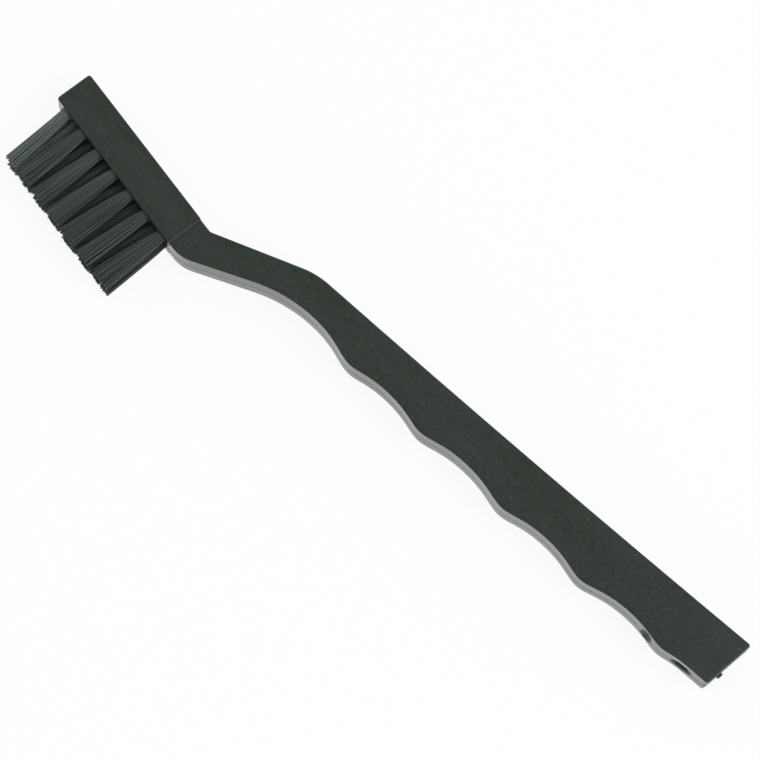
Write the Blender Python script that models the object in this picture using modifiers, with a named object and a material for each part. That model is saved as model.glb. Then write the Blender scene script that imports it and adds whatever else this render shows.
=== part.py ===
"""Anti-static hand brush of the toothbrush pattern, lying on its flat side.

A single moulded handle carries a leaning head, a cranked neck and a grip with finger hollows. Its walls
are drafted both ways from a mould line at half width. The head has three rows of blind holes, and the
middle row stands between its neighbours. Each hole holds a tuft of bristles, folded once round a flat
metal anchor that is pressed in with it and bites into the wall.

Metres, +Z up through the brush's width, +X from the head to the handle's end, +Y towards the back.
The flat sides' outline is drawn from the back corner of the handle's end, at (0, 0), and the finished
brush is then moved so that its origin is at the middle of its footprint.
"""

import math

import bmesh
import bpy
from mathutils import Matrix, Vector

# The whole brush
LENGTH = 0.1761                 # lower corner of the head's tip to the back corner of the handle's end
HANDLE_WIDTH = 0.0104           # neck and grip, from flat side to flat side
EDGE_ROUND = 0.0004             # rounding between a flat side and the walls
FLAT_CORNER_ROUND = 0.0002      # of a flat side's corners, inside its rounded edge
WALL_DRAFT = math.radians(1.0)  # slope of the walls away from the mould's parting plane, at half width
MOULD_LINE_HEIGHT = 0.00004     # how far the line left at the parting plane stands proud of the walls
MOULD_LINE_WIDTH = 0.00016
OVERRUN = 0.0010                # how far a cutter runs on past the face that it opens

# The head, a straight block that leans forward from the handle's line
HEAD_LENGTH = 0.0375
HEAD_DEPTH = 0.0082             # from its back to its bristle face
HEAD_WIDTH = 0.0109
HEAD_LEAN = math.radians(11.75)
HEAD_RISE = 0.0007              # how far the tip's back corner stands above the handle's back

# The neck, which cranks the head down below the handle's back
NECK_ROOT = 0.0060              # how far the neck runs on inside the head
NECK_INSET = 0.0001             # how far its back and underside lie inside those of the head
NECK_HEEL = 0.0029              # straight stretch of its back beyond the head's end
NECK_HEEL_ROUND = 0.0012
NECK_BACK_SLOPE = math.radians(19.4)
NECK_UNDER_SLOPE = math.radians(22.4)
NECK_CHIN_RADIUS = 0.0080       # rounding from the neck's underside into the head's end
NECK_BEND_RADIUS = 0.0180       # rounding from the neck's back into the handle's back
WAIST_FROM_BEND = 0.0041
WAIST_DEPTH = 0.00716           # thinnest place, where the first finger lies
WAIST_RADIUS = 0.0330

# The grip, whose underside runs in finger hollows between narrow crests
BACK_SAG = 0.0004               # how far the back has sunk between the bend and the end, in cooling
GRIP_DEPTH = 0.01228            # back to underside at the deepest crest
CREST_PLACE_SHARES = (0.115, 0.2985, 0.4845, 0.680, 0.851)    # of the way from the end to the neck's bend
CREST_DEPTH_SHARES = (0.984, 1.000, 0.945, 0.877, 0.789)      # of the grip's depth
HOLLOW_DEPTH = 0.00162          # how far the deepest hollow goes in from the line between its crests
HOLLOW_DEPTH_SHARES = (0.92, 0.95, 1.00, 0.81)
CREST_HANDLE_SHARE = 0.24       # of the run between a crest and its hollow: small is a sharp crest
HOLLOW_HANDLE_SHARE = 0.55      # of the same run: large is a round hollow
END_DEPTH = 0.01147             # back to underside at the handle's end
END_FLAT_SHARE = 0.061          # of the grip: the flat stretch of underside at the end
END_RAKE = math.radians(8.3)

# The hanging hole, from the underside through to the back
HANG_HOLE_DIAMETER = 0.0043
HANG_HOLE_FROM_END = 0.00765
HANG_HOLE_CHAMFER = 0.0004

# Marks left by the mould
DIMPLE_RADIUS = 0.0025          # of the ball that shapes the shallow dimple in the last hollow
DIMPLE_DEPTH = 0.0005
DIMPLE_OFF_CENTRE = 0.0016
DIMPLE_SHARE = 0.55             # of the way from the last crest to the hollow before it
GATE_RADIUS = 0.0010            # of the sheared gate on the handle's end
GATE_TIP_RADIUS = 0.0006
GATE_HEIGHT = 0.0006
GATE_DEPTH = 0.0079             # below the handle's back
GATE_ROOT = 0.0004              # how far the gate's stub runs into the end

# The tuft holes
TUFTS_ALONG = 7                 # in an outer row. The middle row has one fewer
ROW_NAMES = ("lower", "middle", "upper")
TUFT_HOLE_DIAMETER = 0.0027
TUFT_HOLE_DEPTH = 0.0046
TUFT_TIP_WALL = 0.0019          # moulding left between an outer row's first hole and the head's tip
TUFT_NECK_WALL = 0.0013         # and between its last hole and the head's end at the neck
TUFT_SIDE_WALL = 0.00075        # and between the row and the head's flat side

# The tufts
BRISTLE_LENGTH = 0.0155         # free length, outside the head
TUFT_CLEARANCE = 0.0001         # between a tuft's root and its hole
TIP_GAP = 0.0009                # between the tips of neighbours in a row
ROW_GAP = 0.0003                # between the tips of neighbouring rows
TRIM_RAGGEDNESS = 0.0005        # how unevenly the tips are cut
FLUTE_SHARE = 0.90              # valley to ridge radius of the bundle's fluted outline
FLUTES = 10
FLARE_SHARES = ((0.00, 0.00), (0.14, 0.22), (0.52, 0.43), (0.81, 0.75), (1.00, 1.00))
FOLD_SHARES = ((0.00, 0.70, 0.40), (0.35, 0.95, 0.80), (1.00, 1.00, 1.00))
RAGGED_SHARES = (0.1, 0.7, 0.3, 1.0, 0.5, 0.0, 0.8, 0.2, 0.9, 0.4)

# The anchors, flat plates on edge across the holes
ANCHOR_THICKNESS = 0.00030
ANCHOR_HEIGHT = 0.00160
ANCHOR_BITE = 0.00025           # how far each end cuts into the hole's wall
ANCHOR_CLEARANCE = 0.00006      # all round, to the moulding and to the tuft
FOLD_THICKNESS = 0.00090        # bristles between the anchor and the hole's floor

# Facets
WELD_DISTANCE = 0.000001        # points this close are one
SMOOTH_BELOW = math.radians(30)
OUTLINE_STEPS = 8
ROUND_STEPS = 3
HANG_HOLE_SIDES = 32
TUFT_HOLE_SIDES = 16
BALL_SIDES = 20
GATE_SIDES = 8

# What follows from these sizes
corner_round = EDGE_ROUND + FLAT_CORNER_ROUND
row_length = HEAD_LENGTH - TUFT_TIP_WALL - TUFT_NECK_WALL
tuft_pitch = (row_length - TUFT_HOLE_DIAMETER) / (TUFTS_ALONG - 1)
row_pitch = (HEAD_WIDTH - 2 * TUFT_SIDE_WALL - TUFT_HOLE_DIAMETER) / (len(ROW_NAMES) - 1)
first_tuft = TUFT_TIP_WALL + TUFT_HOLE_DIAMETER / 2
head_corner = Vector((HEAD_DEPTH * math.sin(HEAD_LEAN) - LENGTH, HEAD_RISE))
anchor_length = TUFT_HOLE_DIAMETER + 2 * ANCHOR_BITE
tuft_bottom = TUFT_CLEARANCE - TUFT_HOLE_DEPTH
anchor_middle = FOLD_THICKNESS - TUFT_HOLE_DEPTH + ANCHOR_HEIGHT / 2


def clear_scene():
    for old in list(bpy.data.objects):
        bpy.data.objects.remove(old, do_unlink=True)


def new_collection(name):
    collection = bpy.data.collections.new(name)
    bpy.context.scene.collection.children.link(collection)
    return collection


def plain_material(name, colour, roughness, metallic=0.0):
    material = bpy.data.materials.new(name)
    material.use_nodes = True
    shader = material.node_tree.nodes["Principled BSDF"]
    shader.inputs["Base Color"].default_value = (*colour, 1.0)
    shader.inputs["Roughness"].default_value = roughness
    shader.inputs["Metallic"].default_value = metallic
    return material


def new_empty(name, collection, parent=None):
    empty = bpy.data.objects.new(name, None)
    collection.objects.link(empty)
    empty.parent = parent
    return empty


def new_object(name, mesh, collection, parent, material=None):
    """An object in the collection. A helper has no material, is hidden from renders and drawn as wires."""
    piece = bpy.data.objects.new(name, mesh)
    collection.objects.link(piece)
    piece.parent = parent
    if material is None:
        piece.hide_render = True
        piece.display_type = "WIRE"
    else:
        mesh.materials.clear()
        mesh.materials.append(material)
    return piece


def mesh_from(shape, name, smooth_below=None):
    """Turns a bmesh into a mesh. Edges that bend less than smooth_below are shaded smooth."""
    mesh = bpy.data.meshes.new(name)
    shape.to_mesh(mesh)
    shape.free()
    if smooth_below:
        mesh.shade_smooth()
        mesh.set_sharp_from_angle(angle=smooth_below)
    return mesh


def evaluated_mesh(piece, name):
    graph = bpy.context.evaluated_depsgraph_get()
    mesh = bpy.data.meshes.new_from_object(piece.evaluated_get(graph))
    mesh.name = name
    return mesh


def combine(piece, operation, other):
    boolean = piece.modifiers.new(other.name, "BOOLEAN")
    boolean.operation = operation
    boolean.solver = "EXACT"
    boolean.object = other


def direction(heading):
    return Vector((math.cos(heading), math.sin(heading)))


def on_head(along, down):
    """The outline's point at a distance along the head from its tip and down from its back."""
    return head_corner + along * direction(-HEAD_LEAN) + down * direction(-HEAD_LEAN - math.pi / 2)


def arc_handle(radius, turn):
    """Length of the Bezier handles that make a circular arc."""
    return 4 / 3 * math.tan(abs(turn) / 4) * radius


def knot(place, heading, before=0.0, after=0.0):
    """A point of the outline: its place, the direction of travel, and its handles' lengths."""
    return Vector(place), heading, before, after


def fillet(corner, heading_in, heading_out, radius, before=0.0, after=0.0):
    """The two knots of a round corner, with the handles of the curves before and after it."""
    turn = heading_out - heading_in
    reach = radius * math.tan(abs(turn) / 2)
    handle = arc_handle(radius, turn)
    return [
        knot(corner - reach * direction(heading_in), heading_in, before, handle),
        knot(corner + reach * direction(heading_out), heading_out, handle, after),
    ]


def crossing(place_a, heading_a, place_b, heading_b):
    """Where two lines meet."""
    a, b = direction(heading_a), direction(heading_b)
    gap = place_b - place_a
    return place_a + a * (gap.x * b.y - gap.y * b.x) / (a.x * b.y - a.y * b.x)


def back_arc(bend):
    """Slope of the sagging back at its ends, and the length of its Bezier handles."""
    return math.atan(4 * BACK_SAG / -bend.x), -bend.x / 3


def back_knots():
    """From inside the head, over the neck's heel and bend, to the start of the long back."""
    heel = on_head(HEAD_LENGTH + NECK_HEEL, NECK_INSET)
    bend = Vector((heel.x - heel.y / math.tan(NECK_BACK_SLOPE), 0))
    tilt, handle = back_arc(bend)
    root_corner = on_head(HEAD_LENGTH - NECK_ROOT, NECK_INSET)
    knots = fillet(root_corner, math.pi / 2 - HEAD_LEAN, -HEAD_LEAN, corner_round)
    knots += fillet(heel, -HEAD_LEAN, NECK_BACK_SLOPE, NECK_HEEL_ROUND)
    knots += fillet(bend, NECK_BACK_SLOPE, -tilt, NECK_BEND_RADIUS, after=handle)
    return knots, bend


def end_knots(bend):
    """The raked end, with both corners rounded."""
    tilt, handle = back_arc(bend)
    rake_heading = -math.pi / 2 - END_RAKE
    under_corner = Vector((-END_DEPTH * math.tan(END_RAKE), -END_DEPTH))
    return fillet(Vector((0, 0)), tilt, rake_heading, corner_round, before=handle) + fillet(
        under_corner, rake_heading, -math.pi, corner_round
    )


def grip_knots(grip_length):
    """The crests and finger hollows of the underside, from the end towards the neck."""
    crests = [
        Vector((-place * grip_length, -depth * GRIP_DEPTH))
        for place, depth in zip(CREST_PLACE_SHARES, CREST_DEPTH_SHARES)
    ]
    flat_start = Vector((-END_FLAT_SHARE * grip_length, -END_DEPTH))
    waist = Vector((WAIST_FROM_BEND - grip_length, -WAIST_DEPTH))
    chords = [b - a for a, b in zip(crests, crests[1:])]
    lows = [(crests[0] - flat_start, flat_start, -math.pi)]
    for crest, chord, depth in zip(crests, chords, HOLLOW_DEPTH_SHARES):
        place = crest + chord / 2 + Vector((0, depth * HOLLOW_DEPTH))
        lows.append((chord, place, -math.pi + math.atan(chord.y / chord.x)))
    lows.append((waist - crests[-1], waist, -math.pi))

    knots = []
    for index, (chord, place, heading) in enumerate(lows):
        before = (place - crests[index - 1]).length if index else 0
        after = (crests[index] - place).length if index < len(crests) else 0
        knots.append(knot(place, heading, HOLLOW_HANDLE_SHARE * before, HOLLOW_HANDLE_SHARE * after))
        if index == len(crests):
            break
        reach = (lows[index + 1][1] - crests[index]).length
        tilts = [math.atan(run.y / run.x) for run in chords[max(index - 1, 0):index + 1]]
        crest_heading = -math.pi + sum(tilts) / len(tilts)
        knots.append(
            knot(crests[index], crest_heading, CREST_HANDLE_SHARE * after, CREST_HANDLE_SHARE * reach)
        )
    return knots, waist


def neck_under_knots(waist):
    """From the waist's arc down the neck's underside, and round its chin into the head."""
    heading = -math.pi + NECK_UNDER_SLOPE
    arc_end = waist + WAIST_RADIUS * Vector(
        (-math.sin(NECK_UNDER_SLOPE), math.cos(NECK_UNDER_SLOPE) - 1)
    )
    under_head = on_head(HEAD_LENGTH - NECK_ROOT, HEAD_DEPTH - NECK_INSET)
    towards_tip = -math.pi - HEAD_LEAN
    chin = crossing(arc_end, heading, under_head, towards_tip)
    handle = arc_handle(WAIST_RADIUS, NECK_UNDER_SLOPE)
    knots = [knot(arc_end, heading, before=handle)]
    knots += fillet(chin, heading, towards_tip, NECK_CHIN_RADIUS)
    knots += fillet(under_head, towards_tip, towards_tip - math.pi / 2, corner_round)
    return knots, handle


def handle_knots():
    """The outline of the neck and the grip, clockwise as seen from above."""
    back, bend = back_knots()
    grip, waist = grip_knots(-bend.x)
    under, waist_handle = neck_under_knots(waist)
    place, heading, before, _ = grip[-1]
    grip[-1] = knot(place, heading, before, waist_handle)
    return back + end_knots(bend) + grip + under


def head_knots():
    """The head's outline, a rectangle with rounded corners, clockwise as seen from above."""
    knots = []
    corners = (HEAD_LENGTH, 0), (HEAD_LENGTH, HEAD_DEPTH), (0, HEAD_DEPTH), (0, 0)
    for number, (along, down) in enumerate(corners):
        heading = -HEAD_LEAN - number * math.pi / 2
        knots += fillet(on_head(along, down), heading, heading - math.pi / 2, corner_round)
    return knots


def flat_curve(name, kind):
    """A curve in the XY plane with one empty spline, in the scene for as long as it is needed."""
    curve = bpy.data.curves.new(name, "CURVE")
    curve.dimensions = "2D"
    drawn = bpy.data.objects.new(name, curve)
    bpy.context.scene.collection.objects.link(drawn)
    return drawn, curve, curve.splines.new(kind)


def wall_profile(width):
    """Section of a moulded wall, X into the plastic: rounded edges, draft, and the mould line at Z = 0."""
    drawn, _, spline = flat_curve("wall", "POLY")
    swell = width / 2 * math.tan(WALL_DRAFT)
    middle = Vector((EDGE_ROUND, width / 2 - EDGE_ROUND))
    turns = [math.pi / 2 * (1 + step / ROUND_STEPS) for step in range(ROUND_STEPS + 1)]
    upper = [middle + EDGE_ROUND * direction(turn) for turn in turns]
    upper.append(Vector((-swell, MOULD_LINE_WIDTH / 2)))
    lower = [Vector((place.x, -place.y)) for place in reversed(upper)]
    section = upper + [Vector((-swell - MOULD_LINE_HEIGHT, 0))] + lower
    spline.points.add(len(section) - 1)
    for point, place in zip(spline.points, section):
        point.co = (*place, 0, 1)
    return drawn


def moulded_mesh(knots, width, name):
    """Fills the outline and sweeps the wall's section round it, as one closed mesh about Z = 0.

    It ends as triangles, because the walls' longer faces twist a little and a cut needs flat ones.
    """
    drawn, curve, spline = flat_curve(name, "BEZIER")
    wall = wall_profile(width)
    curve.fill_mode = "BOTH"
    curve.bevel_mode = "OBJECT"
    curve.bevel_object = wall
    curve.resolution_u = OUTLINE_STEPS
    spline.use_cyclic_u = True
    spline.bezier_points.add(len(knots) - 1)
    for point, (place, heading, before, after) in zip(spline.bezier_points, knots):
        point.handle_left_type = "FREE" if before else "VECTOR"
        point.handle_right_type = "FREE" if after else "VECTOR"
        point.co = place.to_3d()
        point.handle_left = (place - before * direction(heading)).to_3d()
        point.handle_right = (place + after * direction(heading)).to_3d()
    mesh = evaluated_mesh(drawn, name)
    bpy.data.objects.remove(drawn)
    bpy.data.objects.remove(wall)

    shape = bmesh.new()
    shape.from_mesh(mesh)
    bpy.data.meshes.remove(mesh)
    bmesh.ops.remove_doubles(shape, verts=shape.verts, dist=WELD_DISTANCE)
    bmesh.ops.triangulate(shape, faces=shape.faces)
    bmesh.ops.recalc_face_normals(shape, faces=shape.faces)
    return mesh_from(shape, name, SMOOTH_BELOW)


def tuft_places():
    """Row name, number along the row, and the middle of the hole's mouth in the head's own frame.

    Every second row stands half a pitch along from its neighbours, and has one tuft fewer.
    """
    for row, row_name in enumerate(ROW_NAMES):
        across = (row - (len(ROW_NAMES) - 1) / 2) * row_pitch
        stagger = row % 2
        for number in range(TUFTS_ALONG - stagger):
            along = first_tuft + (number + stagger / 2) * tuft_pitch
            yield row_name, number, Vector((along, across, HEAD_DEPTH))


def tuft_hole_cutter(helpers, head_frame):
    shape = bmesh.new()
    for _, _, mouth in tuft_places():
        middle = mouth + Vector((0, 0, (OVERRUN - TUFT_HOLE_DEPTH) / 2))
        bmesh.ops.create_cone(
            shape,
            cap_ends=True,
            segments=TUFT_HOLE_SIDES,
            radius1=TUFT_HOLE_DIAMETER / 2,
            radius2=TUFT_HOLE_DIAMETER / 2,
            depth=TUFT_HOLE_DEPTH + OVERRUN,
            matrix=Matrix.Translation(middle),
        )
    return new_object("tuft_holes", mesh_from(shape, "tuft_holes"), helpers, head_frame)


def add_plate(shape, middle, length, thickness, height):
    """A box with its length along the head and its height along the hole."""
    made = bmesh.ops.create_cube(shape, size=1)
    bmesh.ops.scale(shape, vec=(length, thickness, height), verts=made["verts"])
    bmesh.ops.translate(shape, vec=middle, verts=made["verts"])


def anchor_slot_cutter(helpers, head_frame):
    """The slits that the anchors' ends cut in the walls of the holes."""
    shape = bmesh.new()
    for _, _, mouth in tuft_places():
        add_plate(
            shape,
            mouth + Vector((0, 0, anchor_middle)),
            anchor_length + 2 * ANCHOR_CLEARANCE,
            ANCHOR_THICKNESS + 2 * ANCHOR_CLEARANCE,
            ANCHOR_HEIGHT + 2 * ANCHOR_CLEARANCE,
        )
    return new_object("anchor_slots", mesh_from(shape, "anchor_slots"), helpers, head_frame)


def hang_hole_cutter(helpers, parent):
    """A turned cutter, upright on its own Z, that flares at both mouths."""
    radius = HANG_HOLE_DIAMETER / 2
    flare = HANG_HOLE_CHAMFER + OVERRUN
    profile = (
        (0, OVERRUN),
        (radius + flare, OVERRUN),
        (radius, -HANG_HOLE_CHAMFER),
        (radius, HANG_HOLE_CHAMFER - END_DEPTH),
        (radius + flare, -END_DEPTH - OVERRUN),
        (0, -END_DEPTH - OVERRUN),
    )
    shape = bmesh.new()
    corners = [shape.verts.new((x, 0, z)) for x, z in profile]
    for a, b in zip(corners, corners[1:]):
        shape.edges.new((a, b))
    cutter = new_object("hang_hole", mesh_from(shape, "hang_hole"), helpers, parent)
    screw = cutter.modifiers.new("turned", "SCREW")
    screw.steps = screw.render_steps = HANG_HOLE_SIDES
    screw.use_merge_vertices = True
    screw.merge_threshold = WELD_DISTANCE
    cutter.rotation_euler = (-math.pi / 2, 0, 0)
    cutter.location = (-HANG_HOLE_FROM_END, 0, 0)
    return cutter


def dimple_cutter(helpers, parent):
    """A ball that leaves a shallow dimple between the last crest and the hollow before it."""
    _, bend = back_knots()
    grip, _ = grip_knots(-bend.x)
    (crest, heading_a, _, after), (hollow, heading_b, before, _) = grip[1:3]
    curve = (crest, crest + after * direction(heading_a), hollow - before * direction(heading_b), hollow)
    weights = [
        math.comb(3, power) * DIMPLE_SHARE**power * (1 - DIMPLE_SHARE) ** (3 - power)
        for power in range(4)
    ]
    surface = sum((weight * place for weight, place in zip(weights, curve)), Vector((0, 0)))
    shape = bmesh.new()
    bmesh.ops.create_uvsphere(
        shape, u_segments=BALL_SIDES, v_segments=BALL_SIDES // 2, radius=DIMPLE_RADIUS
    )
    ball = new_object("dimple", mesh_from(shape, "dimple"), helpers, parent)
    ball.location = (surface.x, surface.y - DIMPLE_RADIUS + DIMPLE_DEPTH, -DIMPLE_OFF_CENTRE)
    return ball


def gate_stub(helpers, parent):
    """The nib left where the moulding was sheared from its runner, on the end and at half width.

    It is turned by half a facet, so that none of its corners lies on the mould line.
    """
    shape = bmesh.new()
    bmesh.ops.create_cone(
        shape,
        cap_ends=True,
        segments=GATE_SIDES,
        radius1=GATE_RADIUS,
        radius2=GATE_TIP_RADIUS,
        depth=GATE_HEIGHT + GATE_ROOT,
        matrix=Matrix.Rotation(math.pi / 2, 4, "Y")
        @ Matrix.Translation((0, 0, (GATE_HEIGHT - GATE_ROOT) / 2))
        @ Matrix.Rotation(math.pi / GATE_SIDES, 4, "Z"),
    )
    stub = new_object("gate", mesh_from(shape, "gate"), helpers, parent)
    stub.location = (-GATE_DEPTH * math.tan(END_RAKE), -GATE_DEPTH, 0)
    stub.rotation_euler = (0, 0, -END_RAKE)
    return stub


def build_handle(parts, helpers, root, head_frame, material):
    """The one-piece moulding: grip and neck, head, gate, tuft holes, anchor slits, hanging hole, dimple."""
    grip = moulded_mesh(handle_knots(), HANDLE_WIDTH, "handle")
    head = moulded_mesh(head_knots(), HEAD_WIDTH, "head")
    handle = new_object("handle", grip, parts, root, material)
    combine(handle, "UNION", new_object("head", head, helpers, root))
    combine(handle, "UNION", gate_stub(helpers, root))
    combine(handle, "DIFFERENCE", tuft_hole_cutter(helpers, head_frame))
    combine(handle, "DIFFERENCE", anchor_slot_cutter(helpers, head_frame))
    combine(handle, "DIFFERENCE", hang_hole_cutter(helpers, root))
    combine(handle, "DIFFERENCE", dimple_cutter(helpers, root))


def tuft_sections():
    """Height above the hole's mouth and half sizes along and across the head, from the fold to the tips."""
    root = TUFT_HOLE_DIAMETER / 2 - TUFT_CLEARANCE
    tip_along = (tuft_pitch - TIP_GAP) / 2
    tip_across = (row_pitch - ROW_GAP) / 2
    fold_height = anchor_middle - ANCHOR_HEIGHT / 2 - tuft_bottom
    for height, along, across in FOLD_SHARES:
        yield tuft_bottom + height * fold_height, along * root, across * root
    for height, growth in FLARE_SHARES:
        yield (
            height * BRISTLE_LENGTH,
            root + growth * (tip_along - root),
            root + growth * (tip_across - root),
        )


def tuft_mesh(helpers):
    """One bundle: a fluted outline extruded from the fold to the tips, with a window for its anchor."""
    sections = list(tuft_sections())
    low, along, across = sections[0]
    shape = bmesh.new()
    made = bmesh.ops.create_circle(shape, cap_ends=True, segments=2 * FLUTES, radius=1)
    for index, corner in enumerate(made["verts"]):
        share = FLUTE_SHARE if index % 2 else 1
        corner.co = Vector((corner.co.x * share * along, corner.co.y * share * across, low))
    face = shape.faces[:][0]
    for height, next_along, next_across in sections[1:]:
        face = bmesh.ops.extrude_discrete_faces(shape, faces=[face])["faces"][0]
        for corner in face.verts:
            corner.co.x *= next_along / along
            corner.co.y *= next_across / across
            corner.co.z = height
        along, across = next_along, next_across
    for index, corner in enumerate(face.verts):
        corner.co.z -= RAGGED_SHARES[index % len(RAGGED_SHARES)] * TRIM_RAGGEDNESS
    bmesh.ops.poke(shape, faces=[face])
    bmesh.ops.holes_fill(shape, edges=shape.edges)
    bmesh.ops.recalc_face_normals(shape, faces=shape.faces)
    bundle = new_object("bundle", mesh_from(shape, "bundle"), helpers, None)

    window = bmesh.new()
    add_plate(
        window,
        Vector((0, 0, anchor_middle)),
        anchor_length,
        ANCHOR_THICKNESS + 2 * ANCHOR_CLEARANCE,
        ANCHOR_HEIGHT + 2 * ANCHOR_CLEARANCE,
    )
    combine(
        bundle, "DIFFERENCE", new_object("window", mesh_from(window, "window"), helpers, None)
    )
    mesh = evaluated_mesh(bundle, "tuft")
    mesh.shade_smooth()
    mesh.set_sharp_from_angle(angle=SMOOTH_BELOW)
    return mesh


def anchor_mesh():
    shape = bmesh.new()
    add_plate(
        shape, Vector((0, 0, anchor_middle)), anchor_length, ANCHOR_THICKNESS, ANCHOR_HEIGHT
    )
    return mesh_from(shape, "anchor")


def set_tufts(parts, helpers, head_frame, bristle, metal):
    """A tuft and its anchor in every hole. Every second tuft is turned half way round."""
    tuft, anchor = tuft_mesh(helpers), anchor_mesh()
    for row_name, number, mouth in tuft_places():
        label = f"{row_name}_{number + 1}"
        bundle = new_object(f"tuft_{label}", tuft, parts, head_frame, bristle)
        plate = new_object(f"anchor_{label}", anchor, parts, head_frame, metal)
        bundle.location = plate.location = mouth
        bundle.rotation_euler.z = math.pi * (number % 2)


def stand_on_footprint(root, pieces):
    """Moves the brush so that its origin is at the middle of its lowest face's box."""
    bpy.context.view_layer.update()
    graph = bpy.context.evaluated_depsgraph_get()
    corners = [
        piece.matrix_world @ Vector(corner)
        for piece in pieces
        for corner in piece.evaluated_get(graph).bound_box
    ]
    low, high = (Vector(pick(axis) for axis in zip(*corners)) for pick in (min, max))
    root.location = (-(low.x + high.x) / 2, -(low.y + high.y) / 2, -low.z)


def build_brush():
    clear_scene()
    parts = new_collection("anti_static_brush")
    helpers = new_collection("brush_cutters")
    plastic = plain_material("conductive_plastic", (0.030, 0.036, 0.031), 0.45)
    bristle = plain_material("conductive_bristle", (0.055, 0.060, 0.060), 0.50)
    metal = plain_material("anchor_metal", (0.70, 0.56, 0.30), 0.35, metallic=1.0)

    root = new_empty("brush_origin", parts)
    head_frame = new_empty("head_frame", parts, root)
    x_axis, z_axis = direction(-HEAD_LEAN), direction(-HEAD_LEAN - math.pi / 2)
    turn = Matrix((
        (x_axis.x, 0, z_axis.x),
        (x_axis.y, 0, z_axis.y),
        (0, 1, 0),
    ))
    head_frame.matrix_local = Matrix.Translation(head_corner.to_3d()) @ turn.to_4x4()

    build_handle(parts, helpers, root, head_frame, plastic)
    set_tufts(parts, helpers, head_frame, bristle, metal)
    stand_on_footprint(root, [piece for piece in parts.objects if piece.type == "MESH"])


build_brush()
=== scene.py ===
import math
import random

import bmesh
import bpy
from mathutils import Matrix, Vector


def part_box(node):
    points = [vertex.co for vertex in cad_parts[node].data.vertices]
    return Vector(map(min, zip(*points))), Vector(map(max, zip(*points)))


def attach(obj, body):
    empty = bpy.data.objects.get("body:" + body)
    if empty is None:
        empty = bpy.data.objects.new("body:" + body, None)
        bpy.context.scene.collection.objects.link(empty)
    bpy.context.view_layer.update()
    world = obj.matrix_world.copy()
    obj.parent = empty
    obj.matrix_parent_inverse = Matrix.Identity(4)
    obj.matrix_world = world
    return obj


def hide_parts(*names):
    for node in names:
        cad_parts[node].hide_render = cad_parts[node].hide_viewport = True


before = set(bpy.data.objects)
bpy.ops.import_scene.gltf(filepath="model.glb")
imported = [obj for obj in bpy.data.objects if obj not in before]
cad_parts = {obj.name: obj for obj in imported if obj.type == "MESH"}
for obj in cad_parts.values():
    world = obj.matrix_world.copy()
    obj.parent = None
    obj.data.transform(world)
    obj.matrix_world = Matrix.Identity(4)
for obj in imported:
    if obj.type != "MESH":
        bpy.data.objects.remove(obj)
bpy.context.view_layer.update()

# The camera looks down on the brush through a long lens, a little from the bristle side, and is turned
# so that the brush lies across the picture from the upper left to the lower right.
LENS = 184.7
CAMERA_PLACE = (0.0755, -0.11567, 0.7704)
CAMERA_DEGREES = (10.60, -1.70, 40.92)


def show(name, data):
    """Puts an object into the scene, at the origin and unturned."""
    made = bpy.data.objects.new(name, data)
    bpy.context.scene.collection.objects.link(made)
    return made


camera = show("camera", bpy.data.cameras.new("camera"))
camera.data.lens = LENS
camera.location = CAMERA_PLACE
camera.rotation_euler = [math.radians(angle) for angle in CAMERA_DEGREES]
bpy.context.scene.camera = camera
bpy.context.scene.view_settings.view_transform = "Standard"


# The table is a wide white board that the brush lies on. The camera and every reflection see it as white,
# with a faint shadow by the brush. The soft light that it sends back is that of plain white card.
class Tone:
    """A value on its way through a finish. Sums and products of tones add the nodes that work them out."""

    def __init__(self, tree, output):
        self.tree = tree
        self.output = output

    def into(self, socket):
        """Feeds a socket with this tone."""
        self.tree.links.new(self.output, socket)

    def node(self, kind, settings, values, outlet=0):
        """Adds a node: its settings first, a ramp's stops among them, then its sockets' values or links."""
        made = self.tree.nodes.new("ShaderNode" + kind)
        for name, value in settings.items():
            if name == "stops":
                for stop, (place, level) in zip(made.color_ramp.elements, value):
                    stop.position = place
                    stop.color = (level, level, level, 1)
            else:
                setattr(made, name, value)
        for name, value in values.items():
            if isinstance(value, Tone):
                value.into(made.inputs[name])
            else:
                made.inputs[name].default_value = value
        return Tone(self.tree, made.outputs[outlet])

    def sum(self, operation, *values):
        """Adds the Math node for one operation."""
        return self.node("Math", {"operation": operation}, dict(enumerate(values)))

    def __add__(self, other):
        return self.sum("ADD", self, other)

    def __sub__(self, other):
        return self.sum("SUBTRACT", self, other)

    def __rsub__(self, other):
        return self.sum("SUBTRACT", other, self)

    def __mul__(self, other):
        return self.sum("MULTIPLY", self, other)

    __radd__ = __add__
    __rmul__ = __mul__


def new_finish(name):
    """An empty material, a tone to build its nodes from, and the socket that takes its shader."""
    material = bpy.data.materials.new(name)
    material.use_nodes = True
    tree = material.node_tree
    tree.nodes.clear()
    return material, Tone(tree, None), tree.nodes.new("ShaderNodeOutputMaterial").inputs["Surface"]


def seen_directly(start):
    """1 for the camera, a reflection or a view through glass, and 0 for the soft light that is passed on."""
    is_camera = start.node("LightPath", {}, {}, "Is Camera Ray")
    is_glossy = start.node("LightPath", {}, {}, "Is Glossy Ray")
    is_transmission = start.node("LightPath", {}, {}, "Is Transmission Ray")
    return is_camera + is_glossy + is_transmission


def mesh_of(shape, name):
    """The finished mesh of a shape, which is given up."""
    mesh = bpy.data.meshes.new(name)
    shape.to_mesh(mesh)
    shape.free()
    return mesh


TABLE_SIZE = 3.0
CARD_WHITE = (0.80, 0.80, 0.80, 1)
FULL_WHITE = (1, 1, 1, 1)
EVEN_WHITE_SHARE = 0.90

shape = bmesh.new()
bmesh.ops.create_grid(shape, x_segments=1, y_segments=1, size=TABLE_SIZE / 2)
table = show("table", mesh_of(shape, "table"))

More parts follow.
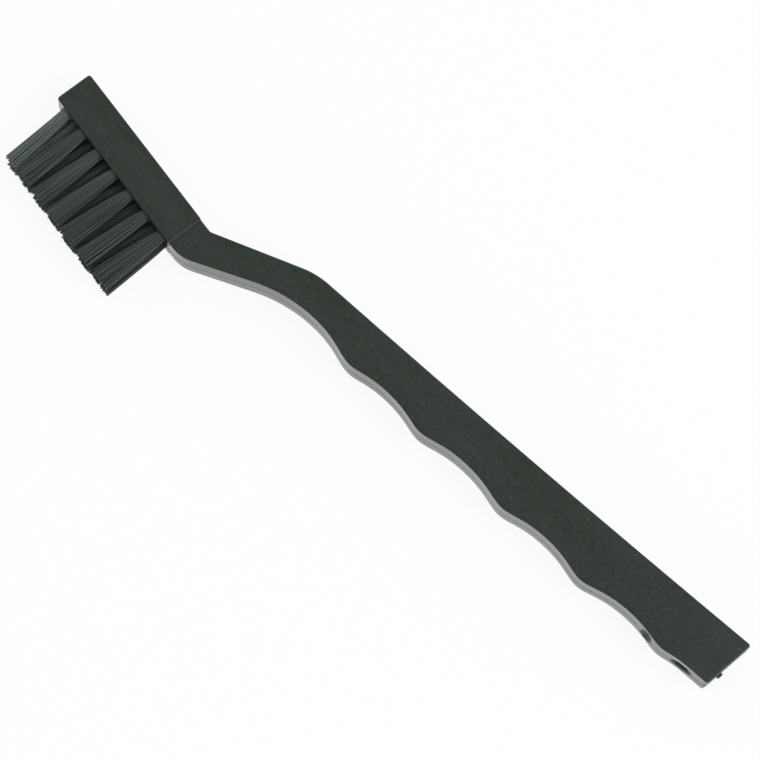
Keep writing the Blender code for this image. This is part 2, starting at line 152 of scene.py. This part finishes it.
table_white, start, surface = new_finish("table_white")
card = start.node("BsdfDiffuse", {}, {"Color": CARD_WHITE})
shaded = start.node("BsdfDiffuse", {}, {"Color": FULL_WHITE})
even = start.node("Emission", {}, {"Color": FULL_WHITE, "Strength": 1.0})
white = start.node("MixShader", {}, {0: EVEN_WHITE_SHARE, 1: shaded, 2: even})
upper_side = start.node("MixShader", {}, {0: seen_directly(start), 1: card, 2: white})
underneath = start.node("NewGeometry", {}, {}, "Backfacing")
lower_side = start.node("BsdfTransparent", {}, {})
start.node("MixShader", {}, {0: underneath, 1: upper_side, 2: lower_side}).into(surface)
# The even white is seen, also in reflections, but it is no lamp.
table_white.cycles.emission_sampling = "NONE"
table.data.materials.append(table_white)

# The light is a white room, brighter overhead than at the sides, and two large soft lamps. The camera and
# every reflection see the room itself as plain white.
WALL_LEVEL = 0.40
CEILING_LEVEL = 0.85
LAMPS = (
    ("window", (-1.30, 0.10, 0.95), 1.5, 4.5),
    ("ceiling_panel", (0.80, 0.14, 1.20), 1.1, 9.0),
)
room = bpy.data.worlds.new("room")
room.use_nodes = True
room.node_tree.nodes.clear()
start = Tone(room.node_tree, None)
seen = seen_directly(start)
direction = start.node("TexCoord", {}, {}, "Generated")
rise = direction.sum("MAXIMUM", direction.node("SeparateXYZ", {}, {0: direction}, "Z"), 0.0)
level = WALL_LEVEL + rise * (CEILING_LEVEL - WALL_LEVEL)
walls = start.node("Background", {}, {"Strength": seen + (1 - seen) * level})
walls.into(room.node_tree.nodes.new("ShaderNodeOutputWorld").inputs["Surface"])
bpy.context.scene.world = room
for name, place, size, power in LAMPS:
    lamp = show(name, bpy.data.lights.new(name, "AREA"))
    lamp.data.shape = "DISK"
    lamp.data.size = size
    lamp.data.energy = power
    lamp.location = place
    lamp.rotation_euler = (-Vector(place)).to_track_quat("-Z", "Y").to_euler()


# The handle is one injection moulding in carbon-filled plastic: head, neck and grip in one shot. Its flat
# sides took a fine grain from the mould, its walls came out smoother, and handling has polished the edges.
WELD = 0.000001
FLAT_BELOW = math.radians(0.05)
SMOOTH_BELOW = math.radians(40)
HEAD_LEAN = math.radians(11.75)
HOLE_WALL_BELOW = 0.1
BRISTLE_FACE_ABOVE = 0.99
MOUTH_ROUND = 0.00012
MOUTH_SEGMENTS = 2

along_head = Vector((math.cos(HEAD_LEAN), -math.sin(HEAD_LEAN), 0))
out_of_head = Vector((-math.sin(HEAD_LEAN), -math.cos(HEAD_LEAN), 0))


def mouth_edges(shape):
    """The rims of the tuft holes: edges between the head's bristle face and a hole's wall."""
    for edge in shape.edges:
        facing = sorted(face.normal.dot(out_of_head) for face in edge.link_faces)
        if facing[0] < HOLE_WALL_BELOW and facing[1] > BRISTLE_FACE_ABOVE:
            yield edge


shape = bmesh.new()
shape.from_mesh(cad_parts["handle"].data)
bmesh.ops.remove_doubles(shape, verts=shape.verts, dist=WELD)
bmesh.ops.dissolve_limit(shape, angle_limit=FLAT_BELOW, verts=shape.verts, edges=shape.edges)
bmesh.ops.bevel(
    shape,
    geom=list(mouth_edges(shape)),
    offset=MOUTH_ROUND,
    segments=MOUTH_SEGMENTS,
    profile=0.5,
    affect="EDGES",
    material=-1,
)
whole = show("undimpled", mesh_of(shape, "undimpled"))

# The dimple in the last finger hollow reaches almost from one flat side to the other.
DIMPLE_PLACE = (0.0719, 0.0017, 0.00600)
DIMPLE_RADII = (0.0021, 0.0025, 0.0046)
DIMPLE_SIDES = 40
DIMPLE_RINGS = 24

shape = bmesh.new()
bmesh.ops.create_uvsphere(shape, u_segments=DIMPLE_SIDES, v_segments=DIMPLE_RINGS, radius=1.0)
bmesh.ops.scale(shape, vec=DIMPLE_RADII, verts=shape.verts)
bmesh.ops.translate(shape, vec=DIMPLE_PLACE, verts=shape.verts)
cutter = show("dimple", mesh_of(shape, "dimple"))
cut = whole.modifiers.new("dimple", "BOOLEAN")
cut.operation = "DIFFERENCE"
cut.solver = "EXACT"
cut.object = cutter
shape = bmesh.new()
shape.from_object(whole, bpy.context.evaluated_depsgraph_get())
for helper in (cutter, whole):
    helper_mesh = helper.data
    bpy.data.objects.remove(helper)
    bpy.data.meshes.remove(helper_mesh)

# How far a face looks up or down: 0 for an upright wall, 1 for a flat side, and between them on an edge.
WALL_BELOW = 0.1
EDGE_ABOVE = 0.2
EDGE_BELOW = 0.98

worn = shape.verts.layers.float.new("worn_edge")
smooth = shape.verts.layers.float.new("smooth_wall")
for corner in shape.verts:
    facing = [abs(face.normal.z) for face in corner.link_faces]
    corner[worn] = 1.0 if min(facing) > EDGE_ABOVE and max(facing) < EDGE_BELOW else 0.0
    corner[smooth] = 1.0 if min(facing) < WALL_BELOW else 0.0
handle = show("handle_moulding", mesh_of(shape, "handle_moulding"))
handle.data.shade_smooth()
handle.data.set_sharp_from_angle(angle=SMOOTH_BELOW)
even_shading = handle.modifiers.new("even_shading", "WEIGHTED_NORMAL")
even_shading.keep_sharp = True

PLASTIC_DARK = (0.0115, 0.0205, 0.0130, 1)
PLASTIC_LIGHT = (0.0275, 0.0377, 0.0295, 1)
PLASTIC_ROUGHNESS = 0.24
PLASTIC_IOR = 1.35
FLOW_STRETCH = (1.0, 4.0, 4.0)
FLOW_SCALE = 40.0
FLOW_STOPS = ((0.35, 0.0), (0.65, 1.0))
FLOW_SHARE = 0.35
FLOW_DULLS = 0.05
MOTTLE_SCALE = 950.0
MOTTLE_STOPS = ((0.36, 0.0), (0.64, 1.0))
MOTTLE_SHARE = 0.65
GRAIN_SCALE = 4500.0
GRAIN_HEIGHT = 0.000012
GRAIN_STRENGTH = 0.6
GRAIN_DULLS = 0.07
WEAR_POLISHES = 0.04
WALL_POLISHES = 0.14
PARTING_HEIGHT = 0.00545
LOWER_MOULD_DULLS = 0.10
DUST = (0.070, 0.078, 0.070, 1)
DUST_SCALE = 260.0
DUST_SIZE = 0.055
DUST_PATCH_SCALE = 70.0
DUST_PATCH_LEVEL = 0.58
DUST_DULLS = 0.3

plastic, start, surface = new_finish("conductive_plastic")
place = start.node("TexCoord", {}, {}, "Object")
flow_place = start.node("Mapping", {}, {"Vector": place, "Scale": FLOW_STRETCH})
flow = start.node("TexNoise", {}, {"Vector": flow_place, "Scale": FLOW_SCALE, "Detail": 3.0})
flow = start.node("ValToRGB", {"stops": FLOW_STOPS}, {"Fac": flow})
mottle = start.node(
    "TexNoise", {}, {"Vector": place, "Scale": MOTTLE_SCALE, "Detail": 4.0, "Roughness": 0.65}
)
mottle = start.node("ValToRGB", {"stops": MOTTLE_STOPS}, {"Fac": mottle})
specks = start.node("TexVoronoi", {}, {"Vector": place, "Scale": DUST_SCALE}, "Distance")
patches = start.node("TexNoise", {}, {"Vector": place, "Scale": DUST_PATCH_SCALE, "Detail": 1.0})
dust = start.sum("LESS_THAN", specks, DUST_SIZE) * start.sum("GREATER_THAN", patches, DUST_PATCH_LEVEL)
height = start.node("SeparateXYZ", {}, {0: place}, "Z")
lower_mould = start.sum("LESS_THAN", height, PARTING_HEIGHT)
grain = start.node(
    "TexNoise", {}, {"Vector": place, "Scale": GRAIN_SCALE, "Detail": 2.0, "Roughness": 0.6}
)
wear = start.node("Attribute", {"attribute_name": "worn_edge"}, {}, "Fac")
wall = start.node("Attribute", {"attribute_name": "smooth_wall"}, {}, "Fac")
shading = flow * FLOW_SHARE + mottle * MOTTLE_SHARE
colour = start.node("Mix", {"data_type": "RGBA"}, {0: shading, 6: PLASTIC_DARK, 7: PLASTIC_LIGHT}, 2)
colour = start.node("Mix", {"data_type": "RGBA"}, {0: dust, 6: colour, 7: DUST}, 2)
roughness = PLASTIC_ROUGHNESS + flow * FLOW_DULLS + grain * GRAIN_DULLS
roughness = roughness - wear * WEAR_POLISHES - wall * WALL_POLISHES
roughness = roughness + lower_mould * LOWER_MOULD_DULLS + dust * DUST_DULLS
relief = start.node("Bump", {}, {"Height": grain, "Distance": GRAIN_HEIGHT, "Strength": GRAIN_STRENGTH})
skin = start.node(
    "BsdfPrincipled",
    {},
    {"Base Color": colour, "Roughness": roughness, "Normal": relief, "IOR": PLASTIC_IOR},
)
skin.into(surface)
handle.data.materials.clear()
handle.data.materials.append(plastic)
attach(handle, "root")
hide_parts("handle")

# The tufts are bundles of fine conductive filament, folded in two and driven into the head's holes. They
# are cut level after that, so their ends stand almost in one plane, and each bundle spreads as it leaves
# its hole.
BRISTLES = 120
BRISTLE_RADIUS = 0.000095
BRISTLE_SIDES = 6
BRISTLE_LENGTH = 0.0155
BRISTLE_SMOOTH_BELOW = math.radians(70)
ROOT_DEPTH = 0.0020
ROOT_SPREAD = 0.00114
STEPS = (0.0, 0.12, 0.30, 0.48, 0.66, 0.84, 1.0)
SPREAD_POWER = 0.75
SPREAD_ACROSS = 0.00140
BOW = 0.00012
TRIM_LEAST = 0.5
RAGGED = 0.00075
CLUMPS = 9
CLUMPING = 0.35
CLUMP_SHIFT = 0.2
TIP_SHIFT = 0.06
GOLDEN_ANGLE = math.pi * (3 - math.sqrt(5))

# One value for each tuft of a row, from the head's tip to the neck.
TRIMS = (0.00035, 0.00045, 0.00028, 0.00020, 0.0, 0.0, 0.00012)
LEANS = (0.00130, 0.00015, -0.00005, -0.00030, -0.00045, -0.00040, -0.00025)
SPREADS = (0.00155, 0.00225, 0.00210, 0.00225, 0.00230, 0.00200, 0.00260)

BRISTLE_DARK = (0.028, 0.041, 0.031, 1)
BRISTLE_LIGHT = (0.152, 0.190, 0.164, 1)
BRISTLE_ROUGHNESS = 0.45
BRISTLE_IOR = 1.42
SHADE_SPAN = 0.37
OWN_SHADE_SHARE = 0.5
# The tuft at the head's tip is painted lighter. This is painted light for the light that reaches its open
# outer side, where no other tuft shades it.
END_TUFT_PAINTED_LIGHT = 0.48

bristle_finish, start, surface = new_finish("conductive_bristle")
# Each bristle's tone differs at random, and the tuft at the head's tip carries painted light on top of it.
shade = start.node("Attribute", {"attribute_name": "bristle_tone_and_painted_light"}, {}, "Fac")
colour = start.node("Mix", {"data_type": "RGBA"}, {0: shade, 6: BRISTLE_DARK, 7: BRISTLE_LIGHT}, 2)
strand = start.node(
    "BsdfPrincipled", {}, {"Base Color": colour, "Roughness": BRISTLE_ROUGHNESS, "IOR": BRISTLE_IOR}
)
strand.into(surface)


def spread_over(count):
    """Evenly spread places on a round patch of radius 1."""
    for number in range(count):
        reach = math.sqrt((number + 0.5) / count)
        turn = number * GOLDEN_ANGLE
        yield Vector((reach * math.cos(turn), reach * math.sin(turn)))


def shift(luck, most):
    """A small random step, at most so far along the head and across it."""
    return Vector((luck.uniform(-most, most), luck.uniform(-most, most)))


def bristle_paths(luck, number):
    """The line of each bristle, as places along the head, across it and out of it, and how light it is."""
    lean, spread, trim = LEANS[number], SPREADS[number], TRIMS[number]
    clumps = [clump + shift(luck, CLUMP_SHIFT) for clump in spread_over(CLUMPS)]
    shades = [luck.random() for clump in clumps]
    for spot in spread_over(BRISTLES):
        nearest = min(range(CLUMPS), key=lambda place: (clumps[place] - spot).length)
        own_shade = luck.random() * OWN_SHADE_SHARE
        shade = (shades[nearest] * (1 - OWN_SHADE_SHARE) + own_shade) * SHADE_SPAN
        tip = spot.lerp(clumps[nearest], CLUMPING * luck.random())
        tip += shift(luck, TIP_SHIFT)
        if tip.length > 1:
            tip.normalize()
        root = spot * ROOT_SPREAD
        tip = Vector((tip.x * spread + lean, tip.y * SPREAD_ACROSS))
        bow = shift(luck, 1) * BOW
        length = BRISTLE_LENGTH - trim * (TRIM_LEAST + luck.random()) - luck.random() ** 2 * RAGGED
        path = [Vector((root.x, root.y, -ROOT_DEPTH))]
        for step in STEPS:
            side = root.lerp(tip, step**SPREAD_POWER) + bow * math.sin(math.pi * step)
            path.append(Vector((side.x, side.y, step * length)))
        # Painted light: the tuft at the head's tip is made lighter for the light on its open side.
        yield path, shade + (END_TUFT_PAINTED_LIGHT if number == 0 else 0.0)


def grow_tuft(name, mouth, luck, number):
    """All bristles of a tuft, grown together one step at a time."""
    shape = bmesh.new()
    shade = shape.verts.layers.float.new("bristle_tone_and_painted_light")
    bristle = shape.faces.layers.int.new("bristle")
    paths = list(bristle_paths(luck, number))
    for index, (path, tint) in enumerate(paths):
        made = bmesh.ops.create_circle(
            shape, cap_ends=True, segments=BRISTLE_SIDES, radius=BRISTLE_RADIUS
        )
        bmesh.ops.translate(shape, vec=path[0], verts=made["verts"])
        for corner in made["verts"]:
            corner[shade] = tint
        made["verts"][0].link_faces[0][bristle] = index
    ends = shape.faces[:]
    for step in range(1, len(STEPS) + 1):
        ends = bmesh.ops.extrude_discrete_faces(shape, faces=ends)["faces"]
        for end in ends:
            path, _ = paths[end[bristle]]
            for corner in end.verts:
                corner.co += path[step] - path[step - 1]
    bmesh.ops.holes_fill(shape, edges=shape.edges)
    for corner in shape.verts:
        along, across, out = corner.co
        corner.co = mouth + along_head * along + Vector((0, 0, across)) + out_of_head * out
    bmesh.ops.recalc_face_normals(shape, faces=shape.faces)
    tuft = show(name, mesh_of(shape, name))
    tuft.data.shade_smooth()
    tuft.data.set_sharp_from_angle(angle=BRISTLE_SMOOTH_BELOW)
    tuft.data.materials.append(bristle_finish)
    return tuft


luck = random.Random(7)
for node_name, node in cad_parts.items():
    if not node_name.startswith("tuft_"):
        continue
    corners = [corner.co for corner in node.data.vertices]
    along = [corner.dot(along_head) for corner in corners]
    out = max(corner.dot(out_of_head) for corner in corners) - BRISTLE_LENGTH
    low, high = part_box(node_name)
    mouth = along_head * (min(along) + max(along)) / 2 + out_of_head * out
    mouth.z = (low.z + high.z) / 2
    number = int(node_name[-1]) - 1
    tuft = grow_tuft(node_name.replace("tuft", "bristles"), mouth, luck, number)
    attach(tuft, "root")
    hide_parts(node_name)

# The anchors are short lengths of flattened brass wire. They sit deep in the holes, where the bundles are
# folded round them, and their ends bite into the plastic.
BRASS = (0.70, 0.56, 0.30, 1)
BRASS_ROUGHNESS = 0.25
DRAWN_STRETCH = (0.1, 1.0, 1.0)
DRAWN_SCALE = 20000.0
DRAWN_DULLS = 0.2

drawn_brass, start, surface = new_finish("drawn_brass")
place = start.node("TexCoord", {}, {}, "Object")
drawn_place = start.node("Mapping", {}, {"Vector": place, "Scale": DRAWN_STRETCH})
drawn = start.node("TexNoise", {}, {"Vector": drawn_place, "Scale": DRAWN_SCALE, "Detail": 2.0})
metal = start.node(
    "BsdfPrincipled",
    {},
    {"Base Color": BRASS, "Metallic": 1.0, "Roughness": BRASS_ROUGHNESS + drawn * DRAWN_DULLS},
)
metal.into(surface)
for name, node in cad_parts.items():
    if name.startswith("anchor_"):
        node.data.materials.clear()
        node.data.materials.append(drawn_brass)
